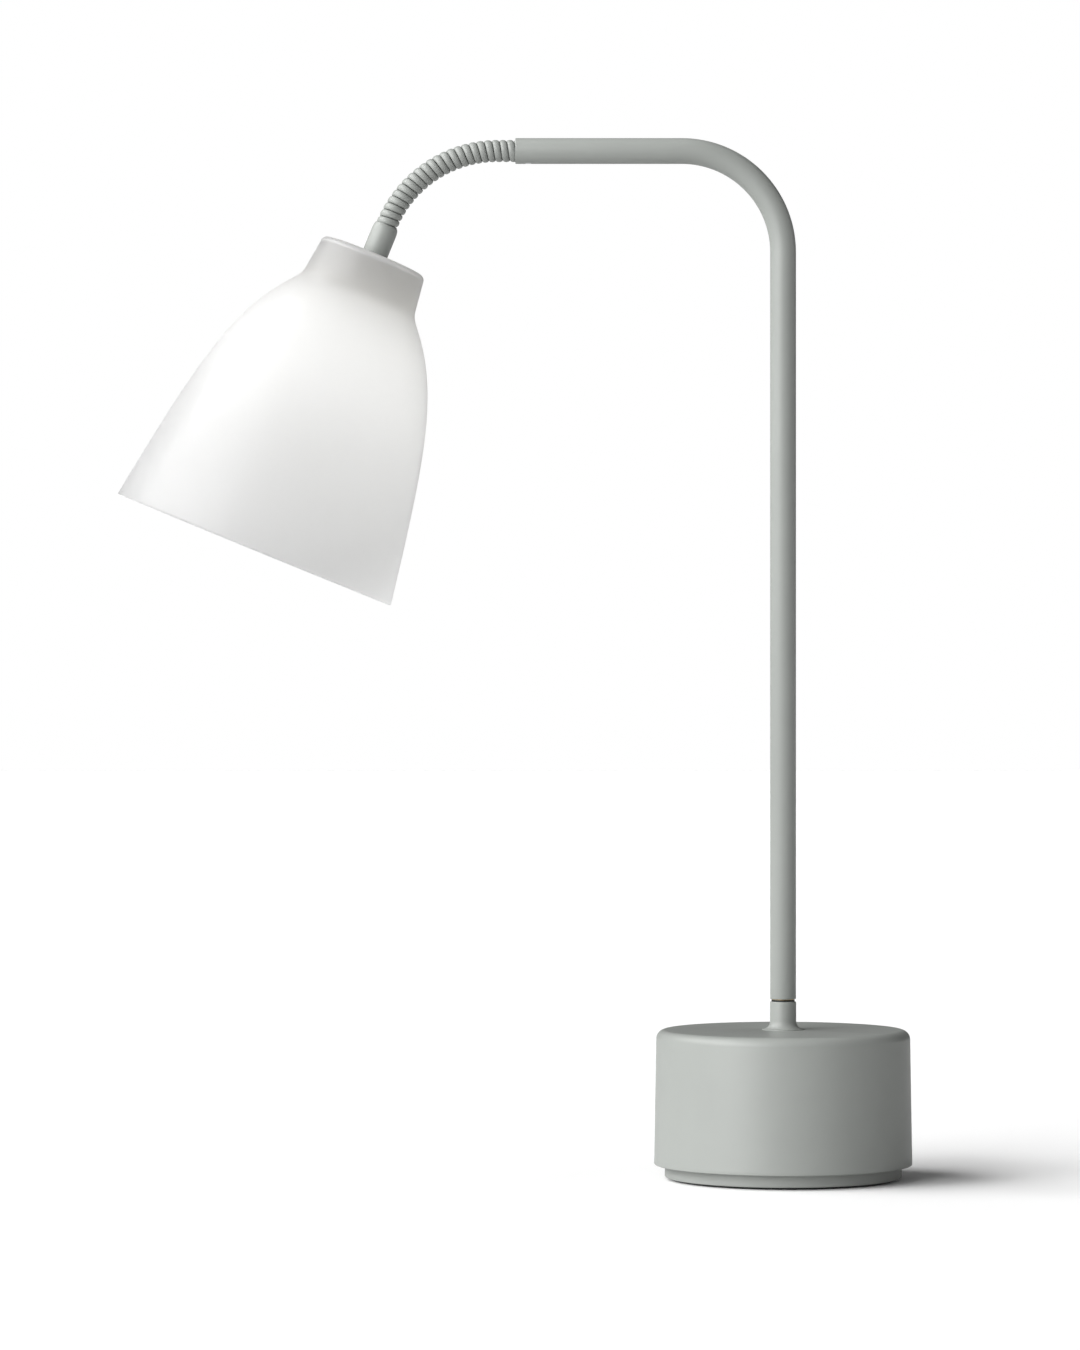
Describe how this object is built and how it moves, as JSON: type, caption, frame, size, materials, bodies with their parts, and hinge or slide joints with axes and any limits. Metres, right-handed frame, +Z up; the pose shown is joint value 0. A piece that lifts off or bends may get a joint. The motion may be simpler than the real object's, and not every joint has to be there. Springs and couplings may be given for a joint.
{
  "type": "desk lamp",
  "caption": "Desk lamp: weighted round base, swivelling bent tube arm, flexible gooseneck and opal glass bell shade over a small bulb.",
  "frame": {"origin": "middle of the base's underside, on the felt pad's lower face, on the pole's centre line", "axes": "+Z up along the pole, -X along the arm towards the shade, +Y to the back, where the cord inlet is"},
  "size_m": [0.4312, 0.16, 0.565],
  "materials": {
    "sage_paint": "satin powder coat, sage grey",
    "felt": "dense felt",
    "cast_iron": "as cast, oiled",
    "zinc_steel": "zinc plated",
    "brass": "turned, bare",
    "black_plastic": "moulded, fine matt",
    "cream_plastic": "moulded thermoset",
    "lead_sheath": "smooth sheath",
    "silicone": "translucent silicone",
    "opal_glass": "opal, satin",
    "bulb_diffuser": "opal, satin",
    "bulb_cap_metal": "rolled thread, bright"
  },
  "bodies": {
    "base": {"foot_pad": "felt", "base_plate": "sage_paint", "base_housing": "sage_paint", "ballast_weight": "cast_iron", "plate_screws": "zinc_steel", "ballast_screws": "zinc_steel", "cord_gland": "black_plastic", "terminal_block": "cream_plastic", "terminal_screws": "zinc_steel", "base_lead": "lead_sheath", "stem_nut": "zinc_steel", "stem_washer": "zinc_steel", "swivel_stem": "zinc_steel", "pole_collar": "sage_paint", "thrust_washer": "black_plastic", "wave_washer": "zinc_steel", "retaining_nut": "brass", "stop_pin": "zinc_steel"},
    "arm": {"arm_tube": "sage_paint", "tube_bearing": "brass", "arm_lead": "lead_sheath", "neck_root": "zinc_steel", "neck_set_screw": "zinc_steel", "neck_turn_01": "sage_paint"},
    "neck_link_02": {"neck_turn_02": "sage_paint"},
    "neck_link_03": {"neck_turn_03": "sage_paint"},
    "neck_link_04": {"neck_turn_04": "sage_paint"},
    "neck_link_05": {"neck_turn_05": "sage_paint"},
    "neck_link_06": {"neck_turn_06": "sage_paint"},
    "neck_link_07": {"neck_turn_07": "sage_paint"},
    "neck_link_08": {"neck_turn_08": "sage_paint"},
    "neck_link_09": {"neck_turn_09": "sage_paint"},
    "neck_link_10": {"neck_turn_10": "sage_paint"},
    "neck_link_11": {"neck_turn_11": "sage_paint"},
    "neck_link_12": {"neck_turn_12": "sage_paint"},
    "neck_link_13": {"neck_turn_13": "sage_paint"},
    "neck_link_14": {"neck_turn_14": "sage_paint"},
    "neck_link_15": {"neck_turn_15": "sage_paint"},
    "neck_link_16": {"neck_turn_16": "sage_paint"},
    "neck_link_17": {"neck_turn_17": "sage_paint"},
    "neck_link_18": {"neck_turn_18": "sage_paint"},
    "neck_link_19": {"neck_turn_19": "sage_paint"},
    "neck_link_20": {"neck_turn_20": "sage_paint"},
    "neck_link_21": {"neck_turn_21": "sage_paint"},
    "head": {"neck_ferrule": "sage_paint", "upper_gasket": "silicone", "shade": "opal_glass", "lower_gasket": "silicone", "shade_nut": "brass", "head_nipple": "zinc_steel", "head_lead": "lead_sheath", "holder_cap": "cream_plastic", "holder_body": "cream_plastic", "holder_contact": "brass", "holder_shell": "brass", "bulb_cap": "bulb_cap_metal", "bulb_globe": "bulb_diffuser", "neck_turn_22": "sage_paint"}
  },
  "joints": [
    {"name": "arm_swivel", "type": "hinge", "parent": "base", "child": "arm", "pos_m": [0, 0, 0.0973], "axis": [0, 0, 1], "range_deg": [-155, 155]},
    {"name": "neck_tilt_01", "type": "hinge", "parent": "arm", "child": "neck_link_02", "pos_m": [-0.14933, 0, 0.558], "axis": [0, -1, 0], "range_deg": [-5.4, 1.62]},
    {"name": "neck_swing_01", "type": "hinge", "parent": "neck_link_02", "child": "neck_link_03", "pos_m": [-0.15326, 0, 0.558], "axis": [0, 0, 1], "range_deg": [-5.5, 5.5]},
    {"name": "neck_tilt_02", "type": "hinge", "parent": "neck_link_03", "child": "neck_link_04", "pos_m": [-0.15719, 0, 0.55797], "axis": [0, -1, 0], "range_deg": [-9, 2.7]},
    {"name": "neck_swing_02", "type": "hinge", "parent": "neck_link_04", "child": "neck_link_05", "pos_m": [-0.16111, 0, 0.55773], "axis": [-0.0913, 0, 0.9958], "range_deg": [-5.5, 5.5]},
    {"name": "neck_tilt_03", "type": "hinge", "parent": "neck_link_05", "child": "neck_link_06", "pos_m": [-0.16501, 0, 0.55725], "axis": [0, -1, 0], "range_deg": [-9, 2.7]},
    {"name": "neck_swing_03", "type": "hinge", "parent": "neck_link_06", "child": "neck_link_07", "pos_m": [-0.16888, 0, 0.55654], "axis": [-0.2111, 0, 0.9775], "range_deg": [-5.5, 5.5]},
    {"name": "neck_tilt_04", "type": "hinge", "parent": "neck_link_07", "child": "neck_link_08", "pos_m": [-0.17269, 0, 0.55559], "axis": [0, -1, 0], "range_deg": [-9, 2.7]},
    {"name": "neck_swing_04", "type": "hinge", "parent": "neck_link_08", "child": "neck_link_09", "pos_m": [-0.17644, 0, 0.55442], "axis": [-0.3279, 0, 0.9447], "range_deg": [-5.5, 5.5]},
    {"name": "neck_tilt_05", "type": "hinge", "parent": "neck_link_09", "child": "neck_link_10", "pos_m": [-0.18011, 0, 0.55302], "axis": [0, -1, 0], "range_deg": [-9, 2.7]},
    {"name": "neck_swing_05", "type": "hinge", "parent": "neck_link_10", "child": "neck_link_11", "pos_m": [-0.18369, 0, 0.5514], "axis": [-0.4398, 0, 0.8981], "range_deg": [-5.5, 5.5]},
    {"name": "neck_tilt_06", "type": "hinge", "parent": "neck_link_11", "child": "neck_link_12", "pos_m": [-0.18717, 0, 0.54956], "axis": [0, -1, 0], "range_deg": [-9, 2.7]},
    {"name": "neck_swing_06", "type": "hinge", "parent": "neck_link_12", "child": "neck_link_13", "pos_m": [-0.19052, 0, 0.54752], "axis": [-0.5453, 0, 0.8383], "range_deg": [-5.5, 5.5]},
    {"name": "neck_tilt_07", "type": "hinge", "parent": "neck_link_13", "child": "neck_link_14", "pos_m": [-0.19375, 0, 0.54528], "axis": [0, -1, 0], "range_deg": [-9, 2.7]},
    {"name": "neck_swing_07", "type": "hinge", "parent": "neck_link_14", "child": "neck_link_15", "pos_m": [-0.19684, 0, 0.54285], "axis": [-0.6427, 0, 0.7661], "range_deg": [-5.5, 5.5]},
    {"name": "neck_tilt_08", "type": "hinge", "parent": "neck_link_15", "child": "neck_link_16", "pos_m": [-0.19977, 0, 0.54023], "axis": [0, -1, 0], "range_deg": [-9, 2.7]},
    {"name": "neck_swing_08", "type": "hinge", "parent": "neck_link_16", "child": "neck_link_17", "pos_m": [-0.20254, 0, 0.53744], "axis": [-0.7307, 0, 0.6827], "range_deg": [-5.5, 5.5]},
    {"name": "neck_tilt_09", "type": "hinge", "parent": "neck_link_17", "child": "neck_link_18", "pos_m": [-0.20513, 0, 0.53449], "axis": [0, -1, 0], "range_deg": [-9, 2.7]},
    {"name": "neck_swing_09", "type": "hinge", "parent": "neck_link_18", "child": "neck_link_19", "pos_m": [-0.20754, 0, 0.53139], "axis": [-0.808, 0, 0.5892], "range_deg": [-5.5, 5.5]},
    {"name": "neck_tilt_10", "type": "hinge", "parent": "neck_link_19", "child": "neck_link_20", "pos_m": [-0.20976, 0, 0.52815], "axis": [0, -1, 0], "range_deg": [-9, 2.7]},
    {"name": "neck_swing_10", "type": "hinge", "parent": "neck_link_20", "child": "neck_link_21", "pos_m": [-0.21178, 0, 0.52477], "axis": [-0.8733, 0, 0.4871], "range_deg": [-5.5, 5.5]},
    {"name": "neck_tilt_11", "type": "hinge", "parent": "neck_link_21", "child": "head", "pos_m": [-0.21359, 0, 0.52129], "axis": [0, -1, 0], "range_deg": [-9, 2.7]}
  ]
}
